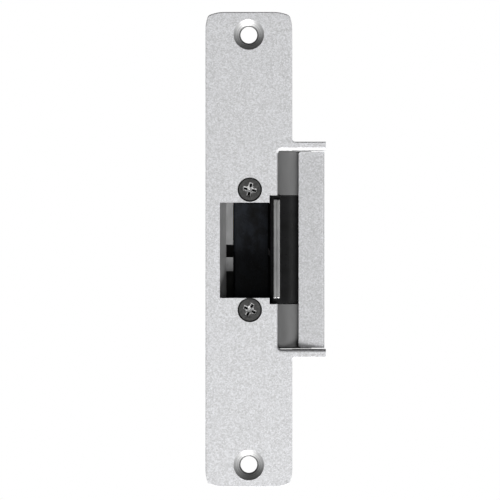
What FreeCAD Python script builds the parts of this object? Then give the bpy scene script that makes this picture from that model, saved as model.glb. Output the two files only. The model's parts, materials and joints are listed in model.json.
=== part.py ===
import FreeCAD, Part
import math
import os

# Electric door strike, in millimetres. +X points to the lip side, +Z up along the faceplate, and the
# faceplate's front faces -Y. The origin is midway between the two jamb-screw holes, on the
# faceplate's back face, which is the plane that seats on the door jamb.

V = FreeCAD.Vector
AXIS_X = V(1, 0, 0)
AXIS_Y = V(0, 1, 0)
AXIS_Z = V(0, 0, 1)

# ---- faceplate ----
PLATE_LENGTH = 200.0
PLATE_WIDTH = 36.5
PLATE_THICKNESS = 3.2
PLATE_FRONT = -PLATE_THICKNESS
CORNER_ARCS = ((15.8, 22.0), (1.9, 71.0), (16.0, 90.0))
PLATE_EDGE_ROUND = 0.5
JAMB_HOLE_SPACING = 181.0
JAMB_HOLE_RADIUS = 3.55
JAMB_SINK_RADIUS = 6.45
JAMB_SINK_HALF_ANGLE = 50.0

# ---- lip: two ribs and the panel between them ----
LIP_REACH = 32.4
LIP_HALF_HEIGHT = 45.45
LIP_INNER_HALF = 41.9
RIB_ROOT_ROUND = 1.2
RIB_OVERLAP = -0.5
RIB_BACK = 4.0
WINDOW_EDGE = 12.1
WINDOW_CORNER = 1.8
WINDOW_ROUND = 1.3
PANEL_HALF_HEIGHT = 41.3
PANEL_LEFT = 21.0
PANEL_BACK = 0.8
PANEL_LEFT_FRONT = -0.6
PANEL_RIGHT_FRONT = -1.7
PANEL_RIGHT = 31.8
PANEL_CORNER = 1.2
NOSE_LENGTH = 1.0
NOSE_DROP = 0.4
FLANGE_THICKNESS = 1.4
FLANGE_DEPTH = 14.0
FLANGE_BEND = 0.6

# ---- latch pocket ----
POCKET_LEFT = -12.2
POCKET_LOW = -20.3
POCKET_HIGH = 19.9
POCKET_WALL_GAP = 0.3
KEEPER_WINDOW_LEFT = 8.7
KEEPER_WINDOW_HALF = 22.9
POCKET_DEPTH = 13.0
LINER_THICKNESS = 1.4
LINER_END_THICKNESS = 1.1
LINER_LEFT = -6.6
LINER_RIGHT = 8.1
LINER_ROUND = 1.2
LINER_WALL_LEFT = -9.3
LINER_WALL_FRONT = 1.6
LEDGE_LEFT = -9.6
LEDGE_RIGHT = -6.7
LEDGE_DEPTH = 7.0
GUIDE_THICKNESS = 1.2
GUIDE_TOP = 0.1
GUIDE_HEEL = 2.0
GUIDE_LAP = 0.1
LEDGE_SPANS = [(2.2, 20.1), (-9.1, -3.2)]

# ---- keeper ----
PIVOT_X = 13.5
PIVOT_Y = 10.0
KEEPER_LEFT = 9.2
KEEPER_HALF = 22.6
KEEPER_SIDE_FRONT = -0.2
KEEPER_SIDE_BACK = 8.0
KEEPER_BACK_RADIUS = 11.5
KEEPER_BACK_START_X = PIVOT_X + 0.1
KEEPER_BACK_END = -47.0
KEEPER_WALL_X = 1.6
KEEPER_WALL_Y = 1.9
KNUCKLE_RADIUS = 4.5
AXLE_RADIUS = 2.0
AXLE_CLEARANCE = 0.05
RIDGE_Y = -2.0
RIDGE_RIGHT = 13.15
CREST_LEFT = 10.45
CREST_RIGHT = 13.05
CREST_FRONT = -2.8
CREST_BACK = -1.2
CREST_LOW = -20.4
CREST_HIGH = 21.1
CREST_ROUND = 0.45
CREST_GROOVE_HALF = 0.3
CREST_GROOVE_DEPTH = 0.4
CREST_SEAT_LAP = 0.1
TAIL_LEFT = 12.5
TAIL_RIGHT = 15.5
TAIL_START = PIVOT_Y + 2.5
TAIL_END = 22.4
TAIL_LOW = -16.0
TAIL_HIGH = -6.4
TAIL_MIDDLE = (TAIL_LOW + TAIL_HIGH) / 2
TAIL_ROUND = 0.8
SPRING_BAY = (4.0, 14.0)
SPRING_BAY_RADIUS = 4.2
SPRING_BAY_HALF = 6.0
PIN_HALF_LENGTH = 26.6
PIN_GROOVE_STARTS = (-25.8, 25.0)
PIN_GROOVE_WIDTH = 0.8
PIN_GROOVE_DEPTH = 0.4
CLIP_RADIUS = 3.9
CLIP_GAP = 2.0
SPRING_COIL = (4.6, 13.4)
SPRING_OUTER = 3.5
SPRING_WIRE_RADIUS = 0.5
SPRING_LEG_OFFSET = 2.9
SPRING_LEG_Z = 12.6
SPRING_LEG_END = 26.6
BUFFER_Y = 19.0
BUFFER_RADIUS = 2.4
BUFFER_START = TAIL_RIGHT + 0.4
BUFFER_LENGTH = 7.1
STUD_RADIUS = 1.5
STUD_START = 21.0

# ---- housing ----
HOUSING_LEFT = -15.0
HOUSING_RIGHT = 26.4
HOUSING_BACK = 27.0
HOUSING_HALF = 41.6
WALL = 1.4
COVER_THICKNESS = 1.2
COVER_BACK = HOUSING_BACK + COVER_THICKNESS
FLANGE_LEFT = HOUSING_RIGHT + 0.1
BEARING_INNER = 23.0
BEARING_OUTER = 24.6
RAMP_LEFT = WINDOW_EDGE + 0.15
RAMP_RIGHT = 20.95
HOUSING_STEP = PANEL_BACK + 0.05
END_BAY_FRONT = 3.5
SWING_CLEARANCE = 0.35
RIDGE_SWING_LEFT = 8.4
RIDGE_SWING_RIGHT = 21.9
RAMP_CORNER = 1.1
COVER_CORNER = 2.0
COVER_POST_LENGTH = 24.0
COIL_BAY_RIGHT = 9.0
COIL_BAY_GAP = 0.4
PIN_BORE_HALF = 27.0

# ---- screws ----
PLATE_SCREW_X = 0.4
PLATE_SCREW_Z = 25.3
PLATE_SINK_RADIUS = 5.15
PLATE_SCREW_SUNK = 0.35
PLATE_SCREW_HEAD = PLATE_SINK_RADIUS - PLATE_SCREW_SUNK
PLATE_SCREW_RADIUS = 2.4
PLATE_SCREW_END = 10.0
PLATE_BOSS_RADIUS = 3.55
PLATE_BOSS_END = 11.0
PLATE_SCREW_TURNS = ((-1, 27.0), (1, 12.0))
PLATE_RECESS_SPAN = 5.9
PLATE_RECESS_DEPTH = 1.8
COVER_SCREW_X = (-11.4, 22.8)
COVER_SCREW_Z = 38.0
SMALL_SCREW_RADIUS = 1.25
SMALL_SCREW_PASS = SMALL_SCREW_RADIUS + 0.1
SMALL_HEAD_RADIUS = 2.5
SMALL_HEAD_HEIGHT = 1.6
SMALL_HEAD_ROUND = 0.7
SMALL_RECESS_SPAN = 2.8
SMALL_RECESS_DEPTH = 0.9
SMALL_RECESS_TURN = 20.0
SMALL_BOSS_RADIUS = 2.6
RECESS_WIDTH_SHARE = 0.2
RECESS_TAPER_SHARE = 0.7
COVER_SCREW_LENGTH = 8.0
LIP_SCREW_Y = 8.5
LIP_SCREW_Z = (-32.0, 32.0)
LIP_SCREW_LENGTH = 2.9
LIP_HOLE_LENGTH = 4.0
SOLENOID_SCREW_X = (-6.6, 0.6)
SOLENOID_SCREW_Z = 30.2

# ---- solenoid and locking lever ----
COIL_X = -3.0
COIL_Y = 20.8
FRAME_LOW = 2.0
FRAME_HIGH = 27.0
FRAME_HALF_WIDTH = 6.0
FRAME_FRONT = 15.0
SHEET = 1.2
PLUNGER_RADIUS = 2.5
PLUNGER_LOW = -10.6
PLUNGER_HIGH = 12.0
PLUNGER_TRAVEL = 3.0
PLUNGER_GUIDE_RADIUS = PLUNGER_RADIUS + 0.3
BOBBIN_BORE_RADIUS = PLUNGER_RADIUS + 0.08
PLUNGER_SPRING_INNER = PLUNGER_RADIUS + 0.3
FRAME_TAB = 6.0
POLE_LOW = 15.2
POLE_NECK_RADIUS = 1.6
POLE_HEAD_RADIUS = 2.6
POLE_HEAD_HEIGHT = 1.2
BOBBIN_TUBE_RADIUS = 3.4
BOBBIN_FLANGE_RADIUS = 4.9
BOBBIN_FLANGE = 1.0
WINDING_RADIUS = 4.4
TAPE_RADIUS = 4.6
TAPE_HALF = 5.5
FORK_TOP = -5.2
RETAINER_LOW = -3.9
RETAINER_THICKNESS = 0.7
RETAINER_RADIUS = 3.5
PLUNGER_SPRING_OUTER = RETAINER_RADIUS - 0.1
RETAINER_GAP = 2.6
RETAINER_GROOVE = 0.4
FORK_WIDTH = 2.4
LINK_PIN_RADIUS = 0.8
LINK_PIN_CLEARANCE = 0.08
LINK_PIN_Z = -8.0
LINK_PIN_HALF_LENGTH = PLUNGER_RADIUS - 0.2
LEVER_X = 2.5
LEVER_Z = LINK_PIN_Z + PLUNGER_TRAVEL / 2
LEVER_THICKNESS = 2.0
LEVER_HUB_RADIUS = 2.4
LEVER_FRONT = COIL_Y - LEVER_THICKNESS / 2
LEVER_BACK = COIL_Y + LEVER_THICKNESS / 2
LEVER_FORK_END = COIL_X - 3.4
LEVER_FORK_HALF = 1.85
LEVER_SLOT_FLOOR = COIL_X + 0.2
LEVER_PIN_RADIUS = 1.25
LEVER_PIN_START = LEVER_FRONT - 1.6
LEVER_CLIP_FRONT = LEVER_FRONT - 0.9
LEVER_CLIP_THICKNESS = 0.6
LEVER_CLIP_RADIUS = 2.4
LEVER_CLIP_GAP = 1.3
LEVER_GROOVE = 0.3
SPACER_RADIUS = 2.2
LEVER_END_PLAY = 0.2
SPRING_END_GAP = 0.02
LEVER_HALF_SWING = math.degrees(math.atan2(PLUNGER_TRAVEL / 2, LEVER_X - COIL_X))
HOOK_LEFT = 9.9
HOOK_RIGHT = 11.2
HOOK_LOW = -10.0
ARM_LEFT = 3.1
ARM_LOW = -5.9
ARM_HIGH = -3.0

# ---- terminal block ----
TERMINAL_LEFT = -8.4
TERMINAL_RIGHT = 7.6
TERMINAL_LOW = -39.0
TERMINAL_HIGH = -29.0
TERMINAL_FRONT = 17.0
TERMINAL_BACK = 33.5
TERMINAL_MIDDLE = (TERMINAL_LOW + TERMINAL_HIGH) / 2
TERMINAL_SCREW_X = (-4.4, 3.6)
TERMINAL_ROUND = 0.6
TERMINAL_GAP = 0.3
WELL_RADIUS = 2.2
WELL_FLOOR = TERMINAL_BACK - 3.0
CLAMP_HEAD_RADIUS = 2.0
CLAMP_HEAD_HEIGHT = 1.4
CLAMP_LENGTH = 3.8
CLAMP_SLOT_HALF = 0.3
CLAMP_SLOT_DEPTH = 0.7
BLOCK_GROOVE_HALF = 0.4
BLOCK_GROOVE_DEPTH = 1.0
WIRE_ENTRY_RADIUS = 1.1
WIRE_ENTRY_DEPTH = 3.0
WIRE_ENTRY_BELOW = 2.6


def box(x0, x1, y0, y1, z0, z1):
    return Part.makeBox(x1 - x0, y1 - y0, z1 - z0, V(x0, y0, z0))


def rod(radius, start, end):
    """A solid cylinder between two points."""
    span = end - start
    return Part.makeCylinder(radius, span.Length, start, span)


def ring(outer, inner, start, end):
    return rod(outer, start, end).cut(rod(inner, start, end))


def prism(edges, z0, z1):
    """A closed outline in the XY plane, raised from z0 to z1."""
    face = Part.Face(Part.Wire(edges))
    face.translate(V(0, 0, z0))
    return face.extrude(V(0, 0, z1 - z0))


def polygon(points, z0, z1):
    corners = [V(x, y, 0) for x, y in points]
    corners.append(corners[0])
    return prism(Part.makePolygon(corners).Edges, z0, z1)


def line(a, b):
    return Part.LineSegment(a, b).toShape()


def arc(a, middle, b):
    return Part.Arc(a, middle, b).toShape()


def back_arc_y(x):
    """Front surface of the keeper's round back and of the housing's ramps, at x."""
    return PIVOT_Y - math.sqrt(KEEPER_BACK_RADIUS**2 - (x - PIVOT_X) ** 2)


def polar(radius, degrees):
    """A point about the keeper's axle in the XY plane."""
    angle = math.radians(degrees)
    return V(PIVOT_X + radius * math.cos(angle), PIVOT_Y + radius * math.sin(angle), 0)


def axle_point(z):
    return V(PIVOT_X, PIVOT_Y, z)


def coil_point(z):
    return V(COIL_X, COIL_Y, z)


def lever_point(y):
    return V(LEVER_X, y, LEVER_Z)


def near(a, b):
    return abs(a - b) < 0.01


def edges_where(shape, wanted):
    """The edges whose middle point satisfies wanted(point)."""
    found = []
    for edge in shape.Edges:
        middle = edge.valueAt((edge.FirstParameter + edge.LastParameter) / 2)
        if wanted(middle):
            found.append(edge)
    return found


def open_ring(centre, axis, outer, inner, thickness, gap, gap_direction):
    """A retaining ring with a gap on one side."""
    washer = ring(outer, inner, centre, centre + axis * thickness)
    across = axis.cross(gap_direction)
    slot = Part.makeBox(outer * 2, gap, thickness * 3, V(0, -gap / 2, -thickness))
    turn = FreeCAD.Rotation(gap_direction, across, axis, "ZXY")
    slot.Placement = FreeCAD.Placement(centre, turn)
    return washer.cut(slot)


# ---------------------------------------------------------------- faceplate
def corner_arcs():
    """Tangent arcs from the flat end to the long side, as start, middle and end (x, drop)."""
    arcs = []
    x = 0.0
    drop = 0.0
    turned = 0.0
    for radius, end_degrees in CORNER_ARCS:
        end = math.radians(end_degrees)
        places = []
        for angle in (turned, (turned + end) / 2, end):
            dx = radius * (math.sin(angle) - math.sin(turned))
            down = radius * (math.cos(turned) - math.cos(angle))
            places.append((x + dx, drop + down))
        arcs.append(places)
        x, drop = places[2]
        turned = end
    shift = PLATE_WIDTH / 2 - x
    return [[(px + shift, down) for px, down in places] for places in arcs]


def plate_blank():
    half = PLATE_WIDTH / 2
    end = PLATE_LENGTH / 2
    arcs = corner_arcs()
    flat = arcs[0][0][0]
    side = end - arcs[-1][2][1]
    edges = []
    for sign_x in (-1, 1):
        for sign_z in (-1, 1):
            for places in arcs:
                edges.append(arc(*[V(sign_x * x, 0, sign_z * (end - drop)) for x, drop in places]))
    for sign in (-1, 1):
        edges.append(line(V(-flat, 0, sign * end), V(flat, 0, sign * end)))
        edges.append(line(V(sign * half, 0, -side), V(sign * half, 0, side)))
    wire = Part.Wire(Part.__sortEdges__(edges))
    return Part.Face(wire).extrude(V(0, -PLATE_THICKNESS, 0))


def through_plate(left, right, low, high):
    return box(left, right, PLATE_FRONT - 1, 1, low, high)


def plate_with_lip():
    """The blank with its lip ribs' roots and the window between them, rims rounded."""
    half = PLATE_WIDTH / 2
    lip = box(WINDOW_EDGE, LIP_REACH, PLATE_FRONT, 0, -LIP_HALF_HEIGHT, LIP_HALF_HEIGHT)
    plate = plate_blank().fuse(lip).removeSplitter()

    def rib_root(p):
        return near(abs(p.z), LIP_HALF_HEIGHT) and near(p.x, half)

    def window_corner(p):
        return near(abs(p.z), LIP_INNER_HALF) and near(p.x, WINDOW_EDGE)

    def window_rim(p):
        inside = abs(p.z) < LIP_INNER_HALF + 0.01 and WINDOW_EDGE - 0.01 < p.x < LIP_REACH - 0.01
        return near(p.y, PLATE_FRONT) and inside

    def outer_rim(p):
        beside_lip = p.x > WINDOW_EDGE - WINDOW_CORNER and abs(p.z) < LIP_HALF_HEIGHT - 0.5
        return near(p.y, PLATE_FRONT) and not beside_lip

    plate = plate.makeFillet(RIB_ROOT_ROUND, edges_where(plate, rib_root))
    window = through_plate(WINDOW_EDGE, LIP_REACH + 1, -LIP_INNER_HALF, LIP_INNER_HALF)
    plate = plate.cut(window)
    plate = plate.makeFillet(WINDOW_CORNER, edges_where(plate, window_corner))
    plate = plate.makeFillet(WINDOW_ROUND, edges_where(plate, window_rim))
    return plate.makeFillet(PLATE_EDGE_ROUND, edges_where(plate, outer_rim))


def faceplate():
    plate = plate_with_lip()
    for low, high in ((-LIP_HALF_HEIGHT, -LIP_INNER_HALF), (LIP_INNER_HALF, LIP_HALF_HEIGHT)):
        plate = plate.fuse(box(PLATE_WIDTH / 2, LIP_REACH, RIB_OVERLAP, RIB_BACK, low, high))
    beyond_edge = WINDOW_EDGE + 1
    plate = plate.cut(through_plate(POCKET_LEFT, beyond_edge, POCKET_LOW, POCKET_HIGH))
    plate = plate.cut(
        through_plate(KEEPER_WINDOW_LEFT, beyond_edge, -KEEPER_WINDOW_HALF, KEEPER_WINDOW_HALF)
    )
    sink_slope = math.tan(math.radians(JAMB_SINK_HALF_ANGLE))
    sink_depth = (JAMB_SINK_RADIUS - JAMB_HOLE_RADIUS) / sink_slope
    for sign in (-1, 1):
        centre = V(0, PLATE_FRONT, sign * JAMB_HOLE_SPACING / 2)
        plate = plate.cut(Part.makeCylinder(JAMB_HOLE_RADIUS, PLATE_THICKNESS, centre, AXIS_Y))
        sink = Part.makeCone(JAMB_SINK_RADIUS, JAMB_HOLE_RADIUS, sink_depth, centre, AXIS_Y)
        plate = plate.cut(sink)
        plate = plate.cut(plate_screw_solid(PLATE_SINK_RADIUS, sign * PLATE_SCREW_Z))
    return plate.removeSplitter()


# ---------------------------------------------------------------- screws
def plate_screw_solid(head_radius, z):
    """A 90 degree countersunk screw's solid; a smaller head sits deeper in the same cone."""
    head_y = PLATE_FRONT + PLATE_SINK_RADIUS - head_radius
    centre = V(PLATE_SCREW_X, head_y, z)
    depth = head_radius - PLATE_SCREW_RADIUS
    cone = Part.makeCone(head_radius, PLATE_SCREW_RADIUS, depth, centre, AXIS_Y)
    shank = Part.makeCylinder(PLATE_SCREW_RADIUS, PLATE_SCREW_END - head_y, centre, AXIS_Y)
    return cone.fuse(shank)


def cross_recess(centre, direction, span, depth, turn):
    """Two crossed tapered slots, sunk along direction from centre."""
    width = span * RECESS_WIDTH_SHARE

    def slot_floor_end(p):
        return near(abs(p.x), span / 2) and near(p.z, depth)

    slots = []
    for quarter in (0, 90):
        slot = Part.makeBox(span, width, depth, V(-span / 2, -width / 2, 0))
        slot = slot.makeChamfer(depth * RECESS_TAPER_SHARE, edges_where(slot, slot_floor_end))
        slot.rotate(V(0, 0, 0), AXIS_Z, quarter + turn)
        slots.append(slot)
    cutter = slots[0].fuse(slots[1])
    cutter.Placement = FreeCAD.Placement(centre, FreeCAD.Rotation(AXIS_Z, direction))
    return cutter


def plate_screws():
    solids = []
    for sign, turn in PLATE_SCREW_TURNS:
        z = sign * PLATE_SCREW_Z
        head = V(PLATE_SCREW_X, PLATE_FRONT + PLATE_SCREW_SUNK, z)
        recess = cross_recess(head, AXIS_Y, PLATE_RECESS_SPAN, PLATE_RECESS_DEPTH, turn)
        solids.append(plate_screw_solid(PLATE_SCREW_HEAD, z).cut(recess))
    return Part.makeCompound(solids)


def small_screw(seat, inward, length):
    """A pan-head screw whose head sits outside seat and whose shank runs inward."""
    top = seat - inward * SMALL_HEAD_HEIGHT
    head = Part.makeCylinder(SMALL_HEAD_RADIUS, SMALL_HEAD_HEIGHT, seat, inward * -1)
    rims = [edge for edge in head.Edges if edge.Closed and near(edge.CenterOfMass.distanceToPoint(top), 0)]
    head = head.makeFillet(SMALL_HEAD_ROUND, rims)
    shank = Part.makeCylinder(SMALL_SCREW_RADIUS, length, seat, inward)
    recess = cross_recess(top, inward, SMALL_RECESS_SPAN, SMALL_RECESS_DEPTH, SMALL_RECESS_TURN)
    return head.fuse(shank).cut(recess)


def cover_screw_places():
    return [(x, sign * COVER_SCREW_Z) for x in COVER_SCREW_X for sign in (-1, 1)]


def cover_screws():
    solids = []
    for x, z in cover_screw_places():
        solids.append(small_screw(V(x, COVER_BACK, z), AXIS_Y * -1, COVER_SCREW_LENGTH))
    return Part.makeCompound(solids)


def solenoid_screws():
    solids = []
    for x in SOLENOID_SCREW_X:
        seat = V(x, COVER_BACK, SOLENOID_SCREW_Z)
        solids.append(small_screw(seat, AXIS_Y * -1, COVER_THICKNESS + SHEET))
    return Part.makeCompound(solids)


def lip_screws():
    solids = []
    for z in LIP_SCREW_Z:
        seat = V(FLANGE_LEFT + FLANGE_THICKNESS, LIP_SCREW_Y, z)
        solids.append(small_screw(seat, AXIS_X * -1, LIP_SCREW_LENGTH))
    return Part.makeCompound(solids)


# ---------------------------------------------------------------- lip panel
def lip_panel():
    """The panel between the ribs, with a round nose and a flange along the housing's side."""
    flange_right = FLANGE_LEFT + FLANGE_THICKNESS
    nose_start = PANEL_RIGHT - NOSE_LENGTH
    nose = V(PANEL_RIGHT, (PANEL_RIGHT_FRONT + PANEL_BACK) / 2, 0)
    front_end = V(nose_start, PANEL_RIGHT_FRONT, 0)
    back_end = V(nose_start, PANEL_BACK - NOSE_DROP, 0)
    corners = [
        back_end,
        V(flange_right + FLANGE_BEND, PANEL_BACK, 0),
        V(flange_right, PANEL_BACK + FLANGE_BEND, 0),
        V(flange_right, FLANGE_DEPTH, 0),
        V(FLANGE_LEFT, FLANGE_DEPTH, 0),
        V(FLANGE_LEFT, PANEL_BACK, 0),
        V(PANEL_LEFT, PANEL_BACK, 0),
        V(PANEL_LEFT, PANEL_LEFT_FRONT, 0),
        front_end,
    ]
    edges = [line(a, b) for a, b in zip(corners, corners[1:])]
    edges.append(arc(front_end, nose, back_end))
    panel = prism(edges, -PANEL_HALF_HEIGHT, PANEL_HALF_HEIGHT)

    def left_corner(p):
        return near(p.x, PANEL_LEFT) and near(abs(p.z), PANEL_HALF_HEIGHT)

    panel = panel.makeFillet(PANEL_CORNER, edges_where(panel, left_corner))
    for z in LIP_SCREW_Z:
        start = V(FLANGE_LEFT - 1, LIP_SCREW_Y, z)
        panel = panel.cut(rod(SMALL_SCREW_PASS, start, start + AXIS_X * LIP_HOLE_LENGTH))
    return panel


# ---------------------------------------------------------------- housing
def housing_blank():
    ramp_start = V(RAMP_LEFT, back_arc_y(RAMP_LEFT), 0)
    ramp_end = V(RAMP_RIGHT, back_arc_y(RAMP_RIGHT), 0)
    ramp_x = (RAMP_LEFT + RAMP_RIGHT) / 2
    corners = [
        ramp_end,
        V(RAMP_RIGHT, HOUSING_STEP, 0),
        V(HOUSING_RIGHT, HOUSING_STEP, 0),
        V(HOUSING_RIGHT, HOUSING_BACK, 0),
        V(HOUSING_LEFT, HOUSING_BACK, 0),
        V(HOUSING_LEFT, 0, 0),
        V(RAMP_LEFT, 0, 0),
        ramp_start,
    ]
    edges = [line(a, b) for a, b in zip(corners, corners[1:])]
    edges.append(arc(ramp_start, V(ramp_x, back_arc_y(ramp_x), 0), ramp_end))
    blank = prism(edges, -HOUSING_HALF, HOUSING_HALF)

    def ramp_corner(p):
        return near(p.x, RAMP_LEFT) and p.y < 0 and near(abs(p.z), HOUSING_HALF)

    return blank.makeFillet(RAMP_CORNER, edges_where(blank, ramp_corner))


def housing_bays(left, right, back, end):
    """What is hollow: the pocket, the keeper's swing, the mechanism bay and the two end bays."""
    swing = KEEPER_BACK_RADIUS + SWING_CLEARANCE
    low = -BEARING_INNER
    high = BEARING_INNER
    return [
        box(left, PIVOT_X, WALL, back, low, high),
        box(PIVOT_X, right, PIVOT_Y, back, low, high),
        rod(swing, axle_point(low), axle_point(high)),
        box(RIDGE_SWING_LEFT, RIDGE_SWING_RIGHT, PLATE_FRONT - 1, PIVOT_Y, low, high),
        box(left, PIVOT_X, -1, WALL + 1, POCKET_LOW - POCKET_WALL_GAP, POCKET_HIGH + POCKET_WALL_GAP),
        box(left, right, END_BAY_FRONT, back, BEARING_OUTER, end),
        box(left, right, END_BAY_FRONT, back, -end, -BEARING_OUTER),
        box(left, COIL_BAY_RIGHT, FRAME_FRONT - COIL_BAY_GAP, back, 0, end),
    ]


def housing():
    right = HOUSING_RIGHT - WALL
    body = housing_blank()
    for bay in housing_bays(HOUSING_LEFT + WALL, right, HOUSING_BACK + 1, HOUSING_HALF - WALL):
        body = body.cut(bay)
    for sign in (-1, 1):
        boss = V(PLATE_SCREW_X, 0, sign * PLATE_SCREW_Z)
        body = body.fuse(rod(PLATE_BOSS_RADIUS, boss, boss + AXIS_Y * PLATE_BOSS_END))
        body = body.cut(plate_screw_solid(PLATE_SINK_RADIUS, sign * PLATE_SCREW_Z))
    for x, z in cover_screw_places():
        top = V(x, HOUSING_BACK, z)
        body = body.fuse(rod(SMALL_BOSS_RADIUS, top - AXIS_Y * COVER_POST_LENGTH, top))
        body = body.cut(rod(SMALL_SCREW_RADIUS, top - AXIS_Y * COVER_SCREW_LENGTH, top))
    for z in LIP_SCREW_Z:
        side = V(right - 1, LIP_SCREW_Y, z)
        body = body.cut(rod(SMALL_SCREW_RADIUS, side, side + AXIS_X * LIP_HOLE_LENGTH))
    body = body.cut(rod(AXLE_RADIUS, axle_point(-PIN_BORE_HALF), axle_point(PIN_BORE_HALF)))
    stud = V(STUD_START, BUFFER_Y, TAIL_MIDDLE)
    body = body.fuse(rod(STUD_RADIUS, stud, V(right + WALL / 2, BUFFER_Y, TAIL_MIDDLE)))
    return body.removeSplitter()


def back_cover():
    y0 = HOUSING_BACK
    y1 = COVER_BACK
    cover = box(HOUSING_LEFT, HOUSING_RIGHT, y0, y1, -HOUSING_HALF, HOUSING_HALF)
    corners = [edge for edge in cover.Edges if near(edge.Length, COVER_THICKNESS)]
    cover = cover.makeFillet(COVER_CORNER, corners)
    gap = TERMINAL_GAP
    left = TERMINAL_LEFT - gap
    right = TERMINAL_RIGHT + gap
    cover = cover.cut(box(left, right, y0, y1, TERMINAL_LOW - gap, TERMINAL_HIGH + gap))
    holes = cover_screw_places() + [(x, SOLENOID_SCREW_Z) for x in SOLENOID_SCREW_X]
    for x, z in holes:
        cover = cover.cut(rod(SMALL_SCREW_PASS, V(x, y0, z), V(x, y1, z)))
    return cover.cut(rod(LEVER_PIN_RADIUS, lever_point(y0), lever_point(y1)))


# ---------------------------------------------------------------- latch pocket
def pocket_liner():
    """Back sheet of the pocket with two end walls folded forward."""
    low_in = POCKET_LOW - POCKET_WALL_GAP
    high_in = POCKET_HIGH + POCKET_WALL_GAP
    low_out = low_in - LINER_END_THICKNESS
    high_out = high_in + LINER_END_THICKNESS
    back = POCKET_DEPTH + LINER_THICKNESS
    liner = box(LINER_LEFT, LINER_RIGHT, POCKET_DEPTH, back, low_out, high_out)

    def front_left(p):
        return near(p.x, LINER_LEFT) and near(p.y, POCKET_DEPTH)

    liner = liner.makeFillet(LINER_ROUND, edges_where(liner, front_left))
    for low, high in ((low_out, low_in), (high_in, high_out)):
        wall = box(LINER_WALL_LEFT, LINER_RIGHT, LINER_WALL_FRONT, POCKET_DEPTH, low, high)
        liner = liner.fuse(wall)
    return liner.removeSplitter()


def latch_guide():
    """Sloping lead-in, ledge and the web below it, with gaps along the ledge."""
    t = GUIDE_THICKNESS
    guide = polygon(
        [
            (POCKET_LEFT - GUIDE_LAP, GUIDE_TOP),
            (LEDGE_LEFT, LEDGE_DEPTH),
            (LEDGE_LEFT, LEDGE_DEPTH + t),
            (LEDGE_LEFT - t, LEDGE_DEPTH + t),
            (POCKET_LEFT - t, GUIDE_HEEL),
            (POCKET_LEFT - t, GUIDE_TOP),
        ],
        POCKET_LOW - GUIDE_LAP,
        POCKET_HIGH + GUIDE_LAP,
    )
    for low, high in LEDGE_SPANS:
        ledge = box(LEDGE_LEFT, LEDGE_RIGHT, LEDGE_DEPTH, LEDGE_DEPTH + t, low, high)
        web = box(LEDGE_RIGHT - t, LEDGE_RIGHT, LEDGE_DEPTH + t, POCKET_DEPTH, low, high)
        guide = guide.fuse(ledge).fuse(web)
    return guide.removeSplitter()


# ---------------------------------------------------------------- keeper
def keeper_outline():
    """Section of the jaw: ridge, round back, and the knuckle round its axle."""
    back_start = V(KEEPER_BACK_START_X, back_arc_y(KEEPER_BACK_START_X), 0)
    back_end = polar(KEEPER_BACK_RADIUS, KEEPER_BACK_END)
    back_middle = polar(KEEPER_BACK_RADIUS, (KEEPER_BACK_END - 90) / 2)
    wall_end = V(back_end.x - KEEPER_WALL_X, back_end.y + KEEPER_WALL_Y, 0)
    knuckle_right = polar(KNUCKLE_RADIUS, 0)
    knuckle_back = polar(KNUCKLE_RADIUS, 90)
    knuckle_left = polar(KNUCKLE_RADIUS, 180)
    side_back = V(KEEPER_LEFT, KEEPER_SIDE_BACK, 0)
    side_front = V(KEEPER_LEFT, KEEPER_SIDE_FRONT, 0)
    ridge_left = V(CREST_LEFT - CREST_SEAT_LAP, RIDGE_Y, 0)
    ridge_right = V(RIDGE_RIGHT, RIDGE_Y, 0)
    return [
        line(side_front, ridge_left),
        line(ridge_left, ridge_right),
        line(ridge_right, back_start),
        arc(back_start, back_middle, back_end),
        line(back_end, wall_end),
        line(wall_end, knuckle_right),
        arc(knuckle_right, polar(KNUCKLE_RADIUS, 45), knuckle_back),
        arc(knuckle_back, polar(KNUCKLE_RADIUS, 135), knuckle_left),
        line(knuckle_left, side_back),
        line(side_back, side_front),
    ]


def tail_blank():
    return box(TAIL_LEFT, TAIL_RIGHT, TAIL_START, TAIL_END, TAIL_LOW, TAIL_HIGH)


def keeper():
    low, high = SPRING_BAY
    half = SPRING_BAY_HALF
    body = prism(keeper_outline(), -KEEPER_HALF, KEEPER_HALF)
    crest_seat = box(CREST_LEFT, CREST_RIGHT, RIDGE_Y - 1, CREST_BACK, CREST_LOW, CREST_HIGH)
    spring_bay = rod(SPRING_BAY_RADIUS, axle_point(low), axle_point(high))
    spring_way = box(PIVOT_X - half, PIVOT_X + half, PIVOT_Y, PIVOT_Y + half, low, high)
    bore_end = KEEPER_HALF + 1
    bore = rod(AXLE_RADIUS + AXLE_CLEARANCE, axle_point(-bore_end), axle_point(bore_end))
    for cutter in (crest_seat, tail_blank(), spring_bay, spring_way, bore):
        body = body.cut(cutter)
    return body.removeSplitter()


def keeper_tail():
    """Hardened dog let into the knuckle, which the locking lever holds."""
    tail = tail_blank()
    return tail.makeFillet(TAIL_ROUND, edges_where(tail, lambda p: near(p.y, TAIL_END)))


def keeper_crest():
    """Wear strip with rounded shoulders and a shallow groove down its middle."""
    strip = box(CREST_LEFT, CREST_RIGHT, CREST_FRONT, CREST_BACK, CREST_LOW, CREST_HIGH)
    strip = strip.makeFillet(CREST_ROUND, edges_where(strip, lambda p: near(p.y, CREST_FRONT)))
    middle = (CREST_LEFT + CREST_RIGHT) / 2
    groove = polygon(
        [
            (middle - CREST_GROOVE_HALF, CREST_FRONT - 0.01),
            (middle + CREST_GROOVE_HALF, CREST_FRONT - 0.01),
            (middle, CREST_FRONT + CREST_GROOVE_DEPTH),
        ],
        CREST_LOW - 1,
        CREST_HIGH + 1,
    )
    return strip.cut(groove)


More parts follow.
